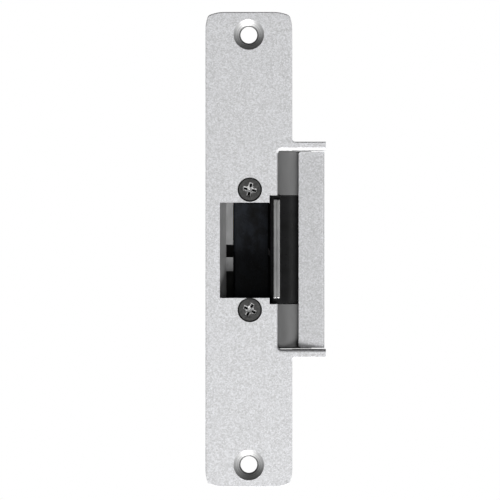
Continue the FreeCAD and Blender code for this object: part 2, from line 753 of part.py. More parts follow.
def keeper_pin():
    pin = rod(AXLE_RADIUS, axle_point(-PIN_HALF_LENGTH), axle_point(PIN_HALF_LENGTH))
    for low in PIN_GROOVE_STARTS:
        groove_end = axle_point(low + PIN_GROOVE_WIDTH)
        groove = ring(AXLE_RADIUS + 1, AXLE_RADIUS - PIN_GROOVE_DEPTH, axle_point(low), groove_end)
        pin = pin.cut(groove)
    return pin


def pin_clips():
    inner = AXLE_RADIUS - PIN_GROOVE_DEPTH
    solids = []
    for low in PIN_GROOVE_STARTS:
        start = axle_point(low)
        solids.append(open_ring(start, AXIS_Z, CLIP_RADIUS, inner, PIN_GROOVE_WIDTH, CLIP_GAP, AXIS_Y))
    return Part.makeCompound(solids)


def keeper_spring():
    """The torsion spring's coil, with one leg that reaches back to the cover."""
    low, high = SPRING_COIL
    coil = ring(SPRING_OUTER, AXLE_RADIUS + PIN_GROOVE_DEPTH, axle_point(low), axle_point(high))
    leg_x = PIVOT_X + SPRING_LEG_OFFSET
    leg_start = V(leg_x, PIVOT_Y, SPRING_LEG_Z)
    return coil.fuse(rod(SPRING_WIRE_RADIUS, leg_start, V(leg_x, SPRING_LEG_END, SPRING_LEG_Z)))


def rest_buffer():
    start = V(BUFFER_START, BUFFER_Y, TAIL_MIDDLE)
    pad = rod(BUFFER_RADIUS, start, start + AXIS_X * BUFFER_LENGTH)
    stud = V(STUD_START, BUFFER_Y, TAIL_MIDDLE)
    return pad.cut(rod(STUD_RADIUS, stud, stud + AXIS_X * BUFFER_LENGTH))


# ---------------------------------------------------------------- locking lever
def lever_holding_end():
    """Arm and hook, drawn swung in beside the keeper's tail, then turned back."""
    arm = box(ARM_LEFT, HOOK_RIGHT, LEVER_FRONT, LEVER_BACK, ARM_LOW, ARM_HIGH)
    hook = box(HOOK_LEFT, HOOK_RIGHT, LEVER_FRONT, LEVER_BACK, HOOK_LOW, ARM_LOW + 0.5)
    end = arm.fuse(hook)
    end.rotate(lever_point(0), AXIS_Y, -2 * LEVER_HALF_SWING)
    return end


def lever_forked_end():
    """Slotted end that the coupling pin drives, drawn level, then turned back."""
    low = LEVER_Z - LEVER_FORK_HALF
    high = LEVER_Z + LEVER_FORK_HALF
    end = box(LEVER_FORK_END, LEVER_X, LEVER_FRONT, LEVER_BACK, low, high)
    half = LINK_PIN_RADIUS + LINK_PIN_CLEARANCE
    floor_x = LEVER_SLOT_FLOOR
    slot = box(LEVER_FORK_END - 1, floor_x, LEVER_FRONT, LEVER_BACK, LEVER_Z - half, LEVER_Z + half)
    floor = rod(half, V(floor_x, LEVER_FRONT, LEVER_Z), V(floor_x, LEVER_BACK, LEVER_Z))
    end = end.cut(slot.fuse(floor))
    end.rotate(lever_point(0), AXIS_Y, -LEVER_HALF_SWING)
    return end


def locking_lever():
    hub = rod(LEVER_HUB_RADIUS, lever_point(LEVER_FRONT), lever_point(LEVER_BACK))
    lever = hub.fuse(lever_holding_end()).fuse(lever_forked_end()).removeSplitter()
    bore = LEVER_PIN_RADIUS + AXLE_CLEARANCE
    return lever.cut(rod(bore, lever_point(LEVER_FRONT - 1), lever_point(LEVER_BACK + 1)))


def lever_pin():
    pin = rod(LEVER_PIN_RADIUS, lever_point(LEVER_PIN_START), lever_point(COVER_BACK))
    groove_end = lever_point(LEVER_CLIP_FRONT + LEVER_CLIP_THICKNESS)
    inner = LEVER_PIN_RADIUS - LEVER_GROOVE
    return pin.cut(ring(LEVER_PIN_RADIUS + 1, inner, lever_point(LEVER_CLIP_FRONT), groove_end))


def lever_clip():
    inner = LEVER_PIN_RADIUS - LEVER_GROOVE
    start = lever_point(LEVER_CLIP_FRONT)
    thickness = LEVER_CLIP_THICKNESS
    return open_ring(start, AXIS_Y, LEVER_CLIP_RADIUS, inner, thickness, LEVER_CLIP_GAP, AXIS_Z)


def lever_spacer():
    start = lever_point(LEVER_BACK + LEVER_END_PLAY)
    return ring(SPACER_RADIUS, LEVER_PIN_RADIUS, start, lever_point(HOUSING_BACK))


# ---------------------------------------------------------------- solenoid
def solenoid_frame():
    left = COIL_X - FRAME_HALF_WIDTH
    right = COIL_X + FRAME_HALF_WIDTH
    inner_back = HOUSING_BACK - SHEET
    low_top = FRAME_LOW + SHEET
    high_bottom = FRAME_HIGH - SHEET
    frame = box(left, right, inner_back, HOUSING_BACK, FRAME_LOW, FRAME_HIGH + FRAME_TAB)
    frame = frame.fuse(box(left, right, FRAME_FRONT, inner_back, FRAME_LOW, low_top))
    frame = frame.fuse(box(left, right, FRAME_FRONT, inner_back, high_bottom, FRAME_HIGH))
    frame = frame.cut(rod(PLUNGER_GUIDE_RADIUS, coil_point(FRAME_LOW), coil_point(low_top)))
    frame = frame.cut(rod(POLE_NECK_RADIUS, coil_point(high_bottom), coil_point(FRAME_HIGH)))
    for x in SOLENOID_SCREW_X:
        hole = V(x, inner_back, SOLENOID_SCREW_Z)
        frame = frame.cut(rod(SMALL_SCREW_RADIUS, hole, hole + AXIS_Y * SHEET))
    return frame.removeSplitter()


def solenoid_bobbin():
    low = coil_point(FRAME_LOW + SHEET)
    high = coil_point(FRAME_HIGH - SHEET)
    spool = rod(BOBBIN_TUBE_RADIUS, low, high)
    spool = spool.fuse(rod(BOBBIN_FLANGE_RADIUS, low, low + AXIS_Z * BOBBIN_FLANGE))
    spool = spool.fuse(rod(BOBBIN_FLANGE_RADIUS, high - AXIS_Z * BOBBIN_FLANGE, high))
    return spool.cut(rod(BOBBIN_BORE_RADIUS, low, high))


def coil_winding():
    low = coil_point(FRAME_LOW + SHEET + BOBBIN_FLANGE)
    high = coil_point(FRAME_HIGH - SHEET - BOBBIN_FLANGE)
    return ring(WINDING_RADIUS, BOBBIN_TUBE_RADIUS, low, high)


def coil_tape():
    middle = coil_point((FRAME_LOW + FRAME_HIGH) / 2)
    return ring(TAPE_RADIUS, WINDING_RADIUS, middle - AXIS_Z * TAPE_HALF, middle + AXIS_Z * TAPE_HALF)


def pole_piece():
    frame_inside = coil_point(FRAME_HIGH - SHEET)
    frame_outside = coil_point(FRAME_HIGH)
    core = rod(PLUNGER_RADIUS, coil_point(POLE_LOW), frame_inside)
    neck = rod(POLE_NECK_RADIUS, frame_inside, frame_outside)
    head = rod(POLE_HEAD_RADIUS, frame_outside, frame_outside + AXIS_Z * POLE_HEAD_HEIGHT)
    return core.fuse(neck).fuse(head)


def plunger():
    half = FORK_WIDTH / 2
    reach = PLUNGER_RADIUS + 1
    body = rod(PLUNGER_RADIUS, coil_point(PLUNGER_LOW), coil_point(PLUNGER_HIGH))
    fork = box(COIL_X - reach, COIL_X + reach, COIL_Y - half, COIL_Y + half, PLUNGER_LOW - 1, FORK_TOP)
    link = coil_point(LINK_PIN_Z)
    link_hole = rod(LINK_PIN_RADIUS, link - AXIS_Y * reach, link + AXIS_Y * reach)
    groove_top = coil_point(RETAINER_LOW + RETAINER_THICKNESS)
    groove = ring(reach, PLUNGER_RADIUS - RETAINER_GROOVE, coil_point(RETAINER_LOW), groove_top)
    return body.cut(fork).cut(link_hole).cut(groove)


def coupling_pin():
    link = coil_point(LINK_PIN_Z)
    half_length = AXIS_Y * LINK_PIN_HALF_LENGTH
    return rod(LINK_PIN_RADIUS, link - half_length, link + half_length)


def spring_retainer():
    start = coil_point(RETAINER_LOW)
    inner = PLUNGER_RADIUS - RETAINER_GROOVE
    thickness = RETAINER_THICKNESS
    return open_ring(start, AXIS_Z, RETAINER_RADIUS, inner, thickness, RETAINER_GAP, AXIS_Y)


def plunger_spring():
    low = coil_point(RETAINER_LOW + RETAINER_THICKNESS + SPRING_END_GAP)
    high = coil_point(FRAME_LOW - SPRING_END_GAP)
    return ring(PLUNGER_SPRING_OUTER, PLUNGER_SPRING_INNER, low, high)


# ---------------------------------------------------------------- terminals
def terminal_block():
    y1 = TERMINAL_BACK
    block = box(TERMINAL_LEFT, TERMINAL_RIGHT, TERMINAL_FRONT, y1, TERMINAL_LOW, TERMINAL_HIGH)
    block = block.makeFillet(TERMINAL_ROUND, edges_where(block, lambda p: near(p.y, y1)))
    for x in TERMINAL_SCREW_X:
        floor = V(x, WELL_FLOOR, TERMINAL_MIDDLE)
        block = block.cut(rod(WELL_RADIUS, floor, V(x, y1, TERMINAL_MIDDLE)))
        block = block.cut(rod(SMALL_SCREW_RADIUS, floor - AXIS_Y * CLAMP_LENGTH, floor))
        entry = V(x, y1 - WIRE_ENTRY_BELOW, TERMINAL_LOW)
        block = block.cut(rod(WIRE_ENTRY_RADIUS, entry, entry + AXIS_Z * WIRE_ENTRY_DEPTH))
    middle_x = sum(TERMINAL_SCREW_X) / 2
    left = middle_x - BLOCK_GROOVE_HALF
    right = middle_x + BLOCK_GROOVE_HALF
    groove = box(left, right, y1 - BLOCK_GROOVE_DEPTH, y1, TERMINAL_LOW, TERMINAL_HIGH)
    return block.cut(groove)


def terminal_screws():
    solids = []
    slot_half = CLAMP_HEAD_RADIUS + 1
    for x in TERMINAL_SCREW_X:
        seat = V(x, WELL_FLOOR, TERMINAL_MIDDLE)
        top = WELL_FLOOR + CLAMP_HEAD_HEIGHT
        head = rod(CLAMP_HEAD_RADIUS, seat, V(x, top, TERMINAL_MIDDLE))
        shank = rod(SMALL_SCREW_RADIUS, seat - AXIS_Y * CLAMP_LENGTH, seat)
        low = TERMINAL_MIDDLE - CLAMP_SLOT_HALF
        high = TERMINAL_MIDDLE + CLAMP_SLOT_HALF
        slot = box(x - slot_half, x + slot_half, top - CLAMP_SLOT_DEPTH, top, low, high)
        solids.append(head.fuse(shank).cut(slot))
    return Part.makeCompound(solids)


NODES = [
    faceplate,
    lip_panel,
    housing,
    back_cover,
    cover_screws,
    plate_screws,
    lip_screws,
    solenoid_screws,
    pocket_liner,
    latch_guide,
    keeper,
    keeper_crest,
    keeper_tail,
    keeper_pin,
    pin_clips,
    keeper_spring,
    rest_buffer,
    locking_lever,
    lever_pin,
    lever_clip,
    lever_spacer,
    solenoid_frame,
    solenoid_bobbin,
    coil_winding,
    coil_tape,
    pole_piece,
    plunger,
    coupling_pin,
    plunger_spring,
    spring_retainer,
    terminal_block,
    terminal_screws,
]

os.makedirs("parts", exist_ok=True)
for make in NODES:
    make().exportStep("parts/" + make.__name__ + ".step")
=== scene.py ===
import json
import math

import bmesh
import bpy
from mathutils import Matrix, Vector


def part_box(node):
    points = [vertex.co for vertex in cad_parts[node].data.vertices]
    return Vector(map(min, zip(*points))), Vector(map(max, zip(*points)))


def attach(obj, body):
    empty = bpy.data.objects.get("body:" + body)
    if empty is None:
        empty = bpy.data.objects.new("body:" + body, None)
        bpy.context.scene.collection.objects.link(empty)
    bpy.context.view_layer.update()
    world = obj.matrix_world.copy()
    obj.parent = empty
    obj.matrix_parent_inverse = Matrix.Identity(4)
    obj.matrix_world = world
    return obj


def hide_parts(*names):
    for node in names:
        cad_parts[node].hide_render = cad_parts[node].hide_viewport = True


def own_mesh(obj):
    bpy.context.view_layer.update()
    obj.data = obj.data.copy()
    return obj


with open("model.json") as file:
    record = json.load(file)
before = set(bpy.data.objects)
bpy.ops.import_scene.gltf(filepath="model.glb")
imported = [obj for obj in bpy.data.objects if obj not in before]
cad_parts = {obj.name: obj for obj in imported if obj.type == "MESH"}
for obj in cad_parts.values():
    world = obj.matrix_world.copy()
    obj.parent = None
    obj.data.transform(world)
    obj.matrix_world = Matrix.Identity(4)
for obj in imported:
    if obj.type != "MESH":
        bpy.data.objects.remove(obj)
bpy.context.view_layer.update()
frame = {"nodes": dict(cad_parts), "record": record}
nodes = frame["nodes"]

MM = 0.001
BODY = "strike_body"


# ---------------------------------------------------------------- materials
NEUTRAL = (1.0, 1.0, 1.0)
COOL = (0.985, 0.99, 1.02)
EVEN = (1.0, 1.0, 1.0)  # a texture's stretch along X, Y and Z
MIX_SOCKETS = (0, 6, 7)  # the Mix node's factor and its two colours
MIX_RESULT = 2
BEVEL_SAMPLES = 6
FLAT_DOT, EDGE_DOT = 0.985, 0.80  # rounded normal against true normal

JAMB_HOLES = frame["record"]["mounts"][0]["dims"]
JAMB_HOLE_Z = JAMB_HOLES["spacing_y_mm"] / 2 * MM
JAMB_HOLE_RADIUS = JAMB_HOLES["hole_r_mm"] * MM
JAMB_SINK_RADIUS = 6.5 * MM
HOLE_SHADE_INNER = JAMB_HOLE_RADIUS + 0.15 * MM
HOLE_SHADE_OUTER = JAMB_HOLE_RADIUS + 0.45 * MM
SCREW_SINK_GAP = 0.36 * MM
FACE_SKIN = 0.02 * MM
BACK_SKIN = -0.05 * MM
SINK_RING_SCALE = 2600.0
COAT_RELIEF_UM = 24.0

# painted shade inside the housing: where it starts and is full, its margins, its share and its
# grey
SHADE_INSIDE_START = 2.5 * MM
SHADE_INSIDE_FULL = 6.0 * MM
SHADE_INSIDE_WALL = 1.0 * MM
SHADE_INSIDE_PAST_BACK = 0.2 * MM
SHADE_INSIDE_SHARE = 0.93
SHADE_INSIDE_GREY = 0.006
# painted shade in the gaps beside the lip panel starts this far inside the panel's edge
GAP_SHADE_DEPTH = 0.1 * MM

RECESS_RIM_INNER = 2.7 * MM
RECESS_RIM_OUTER = 2.9 * MM
RECESS_WALL_DEPTH = 0.10 * MM
RECESS_FLOOR_DEPTH = 0.80 * MM
RECESS_FLOOR_RADIUS = 1.05 * MM
# painted shade: the dark ring round the head's rim spans these distances inside the rim
CREVICE_SHADE_INNER = 0.34 * MM
CREVICE_SHADE_OUTER = 0.16 * MM
HEAD_RING_SCALE = 5000.0


class Nodes:
    """A short way to build one material's node tree."""

    def __init__(self, name):
        self.material = bpy.data.materials.new(name)
        self.material.use_nodes = True
        self.tree = self.material.node_tree
        self.shader = self.tree.nodes["Principled BSDF"]
        self.place = self.add("ShaderNodeTexCoord").outputs["Object"]

    def add(self, kind, inputs=None, **settings):
        node = self.tree.nodes.new(kind)
        for key, value in settings.items():
            setattr(node, key, value)
        for key, value in (inputs or {}).items():
            self.plug(value, node.inputs[key])
        return node

    def plug(self, value, socket):
        if isinstance(value, bpy.types.NodeSocket):
            self.tree.links.new(value, socket)
        else:
            socket.default_value = value

    def stretched(self, stretch):
        return self.add("ShaderNodeMapping", {"Vector": self.place, "Scale": stretch}).outputs[0]

    def noise(self, size_mm, detail=3.0, stretch=EVEN, sharp=0.5):
        inputs = {
            "Vector": self.stretched(stretch),
            "Scale": 1000.0 / size_mm,
            "Detail": detail,
            "Roughness": sharp,
        }
        return self.add("ShaderNodeTexNoise", inputs).outputs[0]

    def cells(self, size_mm):
        """A random value for each small cell, as in flakes or grains."""
        cell = self.add("ShaderNodeTexVoronoi", {"Vector": self.place, "Scale": 1000.0 / size_mm})
        return self.add("ShaderNodeSeparateColor", {"Color": cell.outputs["Color"]}).outputs[0]

    def math(self, operation, a, b=0.0):
        return self.add("ShaderNodeMath", {0: a, 1: b}, operation=operation).outputs[0]

    def spread(self, value, low, high, to_low=0.0, to_high=1.0):
        inputs = {"Value": value, 1: low, 2: high, 3: to_low, 4: to_high}
        return self.add("ShaderNodeMapRange", inputs).outputs[0]

    def mix(self, amount, a, b):
        inputs = dict(zip(MIX_SOCKETS, (amount, a, b)))
        return self.add("ShaderNodeMix", inputs, data_type="RGBA").outputs[MIX_RESULT]

    def edges(self, radius_mm):
        """1 on sharp edges and 0 on flats."""
        bevel = self.add("ShaderNodeBevel", {"Radius": radius_mm * MM}, samples=BEVEL_SAMPLES)
        true = self.add("ShaderNodeNewGeometry").outputs["Normal"]
        normals = {0: bevel.outputs[0], 1: true}
        dot = self.add("ShaderNodeVectorMath", normals, operation="DOT_PRODUCT")
        return self.spread(dot.outputs["Value"], FLAT_DOT, EDGE_DOT)

    def bump(self, height, depth_um, strength=1.0):
        inputs = {"Height": height, "Distance": depth_um * 1e-6, "Strength": strength}
        self.plug(self.add("ShaderNodeBump", inputs).outputs[0], self.shader.inputs["Normal"])

    def set(self, **values):
        for key, value in values.items():
            self.plug(value, self.shader.inputs[key.replace("_", " ")])


def grey(value, tint=NEUTRAL):
    return (value * tint[0], value * tint[1], value * tint[2], 1.0)


def distance_from(m, centre_x, centre_z):
    """Distance in the XZ plane from the nearer of a point and its mirror image below."""
    parts = m.add("ShaderNodeSeparateXYZ", {"Vector": m.place}).outputs
    across = m.math("SUBTRACT", parts["X"], centre_x)
    up = m.math("SUBTRACT", m.math("ABSOLUTE", parts["Z"]), centre_z)
    squares = m.math("ADD", m.math("MULTIPLY", across, across), m.math("MULTIPLY", up, up))
    return m.math("SQRT", squares)


def along(m, axis):
    """The place along one axis, in metres."""
    return m.add("ShaderNodeSeparateXYZ", {"Vector": m.place}).outputs[axis]


def deeper_than(m, y):
    """1 behind this Y and 0 in front of it."""
    return m.math("GREATER_THAN", along(m, "Y"), y)


def turned_rings(m, radius, scale):
    """Noise that changes only with the distance from an axis."""
    place = m.add("ShaderNodeCombineXYZ", {"X": radius}).outputs[0]
    return m.add("ShaderNodeTexNoise", {"Vector": place, "Scale": scale}).outputs[0]


def plate_screw_heads():
    """Lowest and highest corners, head radius and middle X of the two pocket screws."""
    low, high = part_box("plate_screws")
    return low, high, (high.x - low.x) / 2, (high.x + low.x) / 2


def painted_shade_inside(m, colour):
    """Painted shade: darkens what lies inside the housing, where shade falls."""
    low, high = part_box("housing")
    inside = m.spread(along(m, "Y"), low.y + SHADE_INSIDE_START, low.y + SHADE_INSIDE_FULL)
    for axis in ("X", "Z"):
        first = getattr(low, axis.lower()) + SHADE_INSIDE_WALL
        last = getattr(high, axis.lower()) - SHADE_INSIDE_WALL
        inside = m.math("MULTIPLY", inside, m.math("GREATER_THAN", along(m, axis), first))
        inside = m.math("MULTIPLY", inside, m.math("LESS_THAN", along(m, axis), last))
    before_back = m.math("LESS_THAN", along(m, "Y"), high.y + SHADE_INSIDE_PAST_BACK)
    inside = m.math("MULTIPLY", inside, before_back)
    return m.mix(m.math("MULTIPLY", inside, SHADE_INSIDE_SHARE), colour, grey(SHADE_INSIDE_GREY))


def silver_coat(name, level):
    """Matte silver coat, grainy, with bare turned metal in the countersinks; painted shade
    darkens the screw countersinks, and a painted shadow line runs round the jamb holes.
    """
    m = Nodes(name)
    flakes = m.cells(0.42)
    grain = m.noise(0.70, 4.0, sharp=0.7)
    drift = m.noise(22.0, 2.0)
    blend = m.math("ADD", m.math("MULTIPLY", flakes, 0.45), m.math("MULTIPLY", grain, 0.75))
    colour = m.mix(m.spread(blend, 0.30, 0.90), grey(0.385 * level), grey(0.645 * level, COOL))
    colour = m.mix(m.spread(drift, 0.3, 0.7, 0.0, 0.10), colour, grey(0.50 * level, COOL))

    _, high, head_radius, head_x = plate_screw_heads()
    jamb_radius = distance_from(m, 0.0, JAMB_HOLE_Z)
    in_jamb_sink = m.math("LESS_THAN", jamb_radius, JAMB_SINK_RADIUS)
    screw_radius = distance_from(m, head_x, high.z - head_radius)
    in_screw_sink = m.math("LESS_THAN", screw_radius, head_radius + SCREW_SINK_GAP)
    below_face = deeper_than(m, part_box("faceplate")[0].y + FACE_SKIN)
    before_back = m.math("LESS_THAN", along(m, "Y"), BACK_SKIN)
    in_sink = m.math("MAXIMUM", in_jamb_sink, in_screw_sink)
    bare = m.math("MULTIPLY", in_sink, m.math("MULTIPLY", below_face, before_back))
    rings = turned_rings(m, jamb_radius, SINK_RING_SCALE)

    turned = m.mix(m.spread(rings, 0.35, 0.65), grey(0.26), grey(0.58))
    # painted shadow: a dark line round the edge of each jamb hole, and painted shade over the
    # screw countersinks
    hole_edge_shade = m.spread(jamb_radius, HOLE_SHADE_INNER, HOLE_SHADE_OUTER, 1.0, 0.0)
    turned = m.mix(m.math("MAXIMUM", in_screw_sink, hole_edge_shade), turned, grey(0.012))
    m.set(Base_Color=m.mix(bare, colour, turned))
    m.set(Metallic=m.spread(bare, 0.0, 1.0, 0.20, 0.85))
    rough = m.spread(grain, 0.3, 0.7, 0.42, 0.58)
    m.set(Roughness=m.spread(bare, 0.0, 1.0, rough, 0.56))
    coat = m.math("ADD", grain, m.math("MULTIPLY", flakes, 0.6))
    m.bump(m.math("MULTIPLY", coat, m.math("SUBTRACT", 1.0, bare)), COAT_RELIEF_UM)
    return m.material


def grey_casting():
    """Smooth die-cast zinc with a thin grey film and faint flow marks, with painted shade in the
    gaps beside the lip panel and inside the housing.
    """
    m = Nodes("grey_casting")
    flow = m.noise(5.0, 3.0, (1.0, 1.0, 0.25))
    grain = m.noise(0.6, 3.0)
    wear = m.math("MULTIPLY", m.edges(0.35), m.spread(m.noise(1.6), 0.35, 0.6))
    colour = m.mix(m.spread(flow, 0.3, 0.7), grey(0.094), grey(0.116))
    colour = m.mix(m.math("MULTIPLY", wear, 0.55), colour, grey(0.30))
    # painted shade: near-black where the housing shows in the gaps above and below the lip panel
    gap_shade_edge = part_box("lip_panel")[1].z - GAP_SHADE_DEPTH
    in_gap_shade = m.math("GREATER_THAN", m.math("ABSOLUTE", along(m, "Z")), gap_shade_edge)
    front_of = m.math("LESS_THAN", along(m, "Y"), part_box("faceplate")[1].y)
    colour = m.mix(m.math("MULTIPLY", in_gap_shade, front_of), colour, grey(0.008))
    m.set(Base_Color=painted_shade_inside(m, colour), Metallic=0.2)
    m.set(Roughness=m.spread(flow, 0.3, 0.7, 0.38, 0.52))
    m.bump(m.math("ADD", grain, flow), 14.0)
    return m.material


def sheet_steel(
    name,
    dark,
    light,
    brush=(1.0, 1.0, 0.05),
    roughness=(0.28, 0.42),
    tint=NEUTRAL,
    metallic=0.85,
    shaded_inside=False,
):
    """Rolled or plated sheet with fine lines along one direction."""
    m = Nodes(name)
    lines = m.noise(0.25, 4.0, brush, 0.6)
    clouds = m.noise(6.0, 3.0)
    blend = m.math("ADD", m.math("MULTIPLY", lines, 0.6), m.math("MULTIPLY", clouds, 0.4))
    wear = m.math("MULTIPLY", m.edges(0.2), 0.5)
    colour = m.mix(m.spread(blend, 0.35, 0.65), grey(dark, tint), grey(light, tint))
    colour = m.mix(wear, colour, grey(min(1.0, light * 1.35), tint))
    # when asked, painted shade darkens what lies inside the housing
    m.set(Base_Color=painted_shade_inside(m, colour) if shaded_inside else colour, Metallic=metallic)
    m.set(Roughness=m.spread(clouds, 0.3, 0.7, *roughness))
    m.bump(lines, 7.0)
    return m.material


def black_enamel():
    """Semi-gloss black keeper with rubbed edges and light scuffs."""
    m = Nodes("black_enamel")
    orange_peel = m.noise(0.8, 3.0)
    scuffs = m.spread(m.noise(0.35, 5.0, (1.0, 1.0, 0.06), 0.7), 0.62, 0.75)
    rubbed = m.math("MULTIPLY", m.edges(0.3), m.spread(m.noise(1.1, 4.0), 0.40, 0.62))
    colour = m.mix(m.spread(m.noise(7.0), 0.3, 0.7), grey(0.005), grey(0.009, (1.0, 1.0, 1.06)))
    colour = m.mix(m.math("MULTIPLY", scuffs, 0.20), colour, grey(0.03))
    m.set(Base_Color=m.mix(m.math("MULTIPLY", rubbed, 0.4), colour, grey(0.14)), Metallic=0.1)
    m.set(Specular_IOR_Level=0.11)
    m.set(Roughness=m.spread(orange_peel, 0.3, 0.7, 0.26, 0.40))
    m.bump(orange_peel, 10.0)
    return m.material


def black_gloss():
    """Glossy black trough: a slow mottle in the gloss, fine dust and a painted bluish sheen,
    lighter towards the left.
    """
    m = Nodes("black_gloss")
    mottle = m.noise(4.5, 4.0, (1.0, 1.0, 0.7), 0.6)
    dust = m.spread(m.noise(0.3, 4.0), 0.66, 0.80)
    colour = m.mix(m.spread(mottle, 0.35, 0.7), grey(0.005), grey(0.014, (0.85, 1.0, 1.3)))
    low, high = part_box("pocket_liner")
    # painted sheen: lighter and bluer towards the liner's left end, fading out by its middle
    painted_sheen = m.spread(along(m, "X"), low.x, (low.x + high.x) / 2, 0.8, 0.0)
    colour = m.mix(painted_sheen, colour, grey(0.022, (0.9, 1.0, 1.15)))
    m.set(Base_Color=m.mix(m.math("MULTIPLY", dust, 0.15), colour, grey(0.04)))
    m.set(Specular_IOR_Level=0.15)
    m.set(Roughness=m.spread(mottle, 0.3, 0.7, 0.16, 0.38))
    m.bump(mottle, 60.0, 0.6)
    return m.material


def blackened_screw():
    """Gunmetal screw: a dark film, worn to bright metal inside the cross recess, with painted
    shade on the recess floors and round the head's rim.
    """
    m = Nodes("blackened_screw")
    low, high, head_radius, head_x = plate_screw_heads()
    radius = distance_from(m, head_x, high.z - head_radius)
    inside = m.spread(radius, RECESS_RIM_INNER, RECESS_RIM_OUTER, 1.0, 0.0)
    wall = m.math("MULTIPLY", inside, deeper_than(m, low.y + RECESS_WALL_DEPTH))
    at_floor = deeper_than(m, low.y + RECESS_FLOOR_DEPTH)
    floor = m.math("MULTIPLY", at_floor, m.math("GREATER_THAN", radius, RECESS_FLOOR_RADIUS))
    bare = m.math("MULTIPLY", wall, m.math("SUBTRACT", 1.0, floor))
    crevice_shade = m.spread(radius, head_radius - CREVICE_SHADE_INNER, head_radius - CREVICE_SHADE_OUTER)
    blotch = m.noise(0.9, 5.0, sharp=0.65)
    rings = turned_rings(m, radius, HEAD_RING_SCALE)
    rubbed = m.math("MULTIPLY", m.edges(0.22), m.spread(blotch, 0.35, 0.6))
    film = m.math("ADD", m.math("MULTIPLY", blotch, 0.7), m.math("MULTIPLY", rings, 0.3))
    colour = m.mix(m.spread(film, 0.35, 0.65), grey(0.060), grey(0.12, (1.0, 0.99, 0.97)))
    colour = m.mix(m.math("MULTIPLY", rubbed, 0.6), colour, grey(0.40))
    # painted shade: near-black on the floors of the recess arms
    colour = m.mix(m.math("MULTIPLY", floor, inside), colour, grey(0.010))
    # painted shade: a dark ring in the crevice round the head's rim
    colour = m.mix(crevice_shade, colour, grey(0.008))
    m.set(Base_Color=m.mix(bare, colour, m.mix(blotch, grey(0.50), grey(0.80))))
    m.set(Metallic=0.75)
    m.set(Roughness=m.spread(blotch, 0.3, 0.7, 0.34, 0.48))
    m.bump(blotch, 14.0)
    return m.material


def moulded(name, dark, light, roughness=(0.42, 0.58)):
    """Moulded plastic or rubber with a fine texture."""
    m = Nodes(name)
    texture = m.noise(0.5, 4.0)
    drift = m.noise(5.0, 2.0)
    pale = tuple(min(1.0, c * 1.25) for c in light[:3]) + (1.0,)
    colour = m.mix(m.spread(drift, 0.3, 0.7), dark, light)
    m.set(Base_Color=m.mix(m.math("MULTIPLY", m.edges(0.2), 0.4), colour, pale))
    m.set(Roughness=m.spread(texture, 0.3, 0.7, *roughness))
    m.bump(texture, 12.0)
    return m.material


def wound_copper():
    """Enamelled copper wire: amber film over bright copper."""
    m = Nodes("wound_copper")
    film = m.noise(1.4, 3.0, (1.0, 1.0, 3.0))
    colour = m.mix(m.spread(film, 0.3, 0.7), (0.36, 0.12, 0.045, 1.0), (0.62, 0.25, 0.10, 1.0))
    m.set(Base_Color=colour, Metallic=0.8)
    m.set(Roughness=m.spread(film, 0.3, 0.7, 0.22, 0.36))
    m.bump(m.noise(0.2), 4.0)
    return m.material


def dress(material, *names):
    for name in names:
        mesh = nodes[name].data
        mesh.materials.clear()
        mesh.materials.append(material)


SILVER = silver_coat("silver_coat", 0.97)
PANEL = silver_coat("panel_coat", 0.87)
CASTING = grey_casting()
GUIDE = sheet_steel("guide_sheet", 0.15, 0.22, roughness=(0.40, 0.55), metallic=0.2)
# this sheet gets painted shade inside the housing
ZINC = sheet_steel("zinc_sheet", 0.40, 0.60, tint=(1.0, 1.0, 0.96), shaded_inside=True)
BRIGHT = sheet_steel("bright_steel", 0.52, 0.74, roughness=(0.18, 0.30))
CREST = sheet_steel("worn_crest", 0.24, 0.36, roughness=(0.30, 0.42), metallic=0.6)
DARK_STEEL = sheet_steel("spring_steel", 0.16, 0.28, roughness=(0.25, 0.38))
LEVER_STEEL = sheet_steel("lever_steel", 0.14, 0.24, (0.05, 1.0, 1.0))
ZINC_SCREW = sheet_steel("zinc_screw", 0.42, 0.66, EVEN, tint=(1.0, 0.99, 0.93))
BRASS = sheet_steel("turned_brass", 0.50, 0.70, EVEN, (0.20, 0.32), (1.0, 0.76, 0.36))
ENAMEL = black_enamel()
GLOSS = black_gloss()
SCREW = blackened_screw()
RUBBER = moulded("buffer_rubber", grey(0.018), grey(0.030), (0.62, 0.80))
NYLON = moulded("bobbin_nylon", (0.62, 0.58, 0.46, 1), (0.74, 0.70, 0.58, 1))
TAPE = moulded("coil_tape", (0.55, 0.38, 0.06, 1), (0.68, 0.50, 0.10, 1), (0.22, 0.34))
GREEN = moulded("terminal_plastic", (0.010, 0.10, 0.045, 1), (0.018, 0.15, 0.070, 1))
COPPER = wound_copper()

dress(SILVER, "faceplate")
dress(PANEL, "lip_panel")
dress(CASTING, "housing")
dress(GUIDE, "latch_guide")
dress(ZINC, "back_cover", "solenoid_frame")
dress(ZINC_SCREW, "cover_screws", "lip_screws", "solenoid_screws")
dress(CREST, "keeper_crest")
dress(BRIGHT, "keeper_pin", "lever_pin", "pole_piece", "plunger", "coupling_pin")
dress(DARK_STEEL, "pin_clips", "keeper_spring", "lever_clip", "plunger_spring", "spring_retainer")
dress(LEVER_STEEL, "locking_lever", "keeper_tail")
dress(BRASS, "lever_spacer", "terminal_screws")
dress(ENAMEL, "keeper")
dress(GLOSS, "pocket_liner")
dress(SCREW, "plate_screws")
dress(RUBBER, "rest_buffer")
dress(NYLON, "solenoid_bobbin")
dress(COPPER, "coil_winding")
dress(TAPE, "coil_tape")
dress(GREEN, "terminal_block")


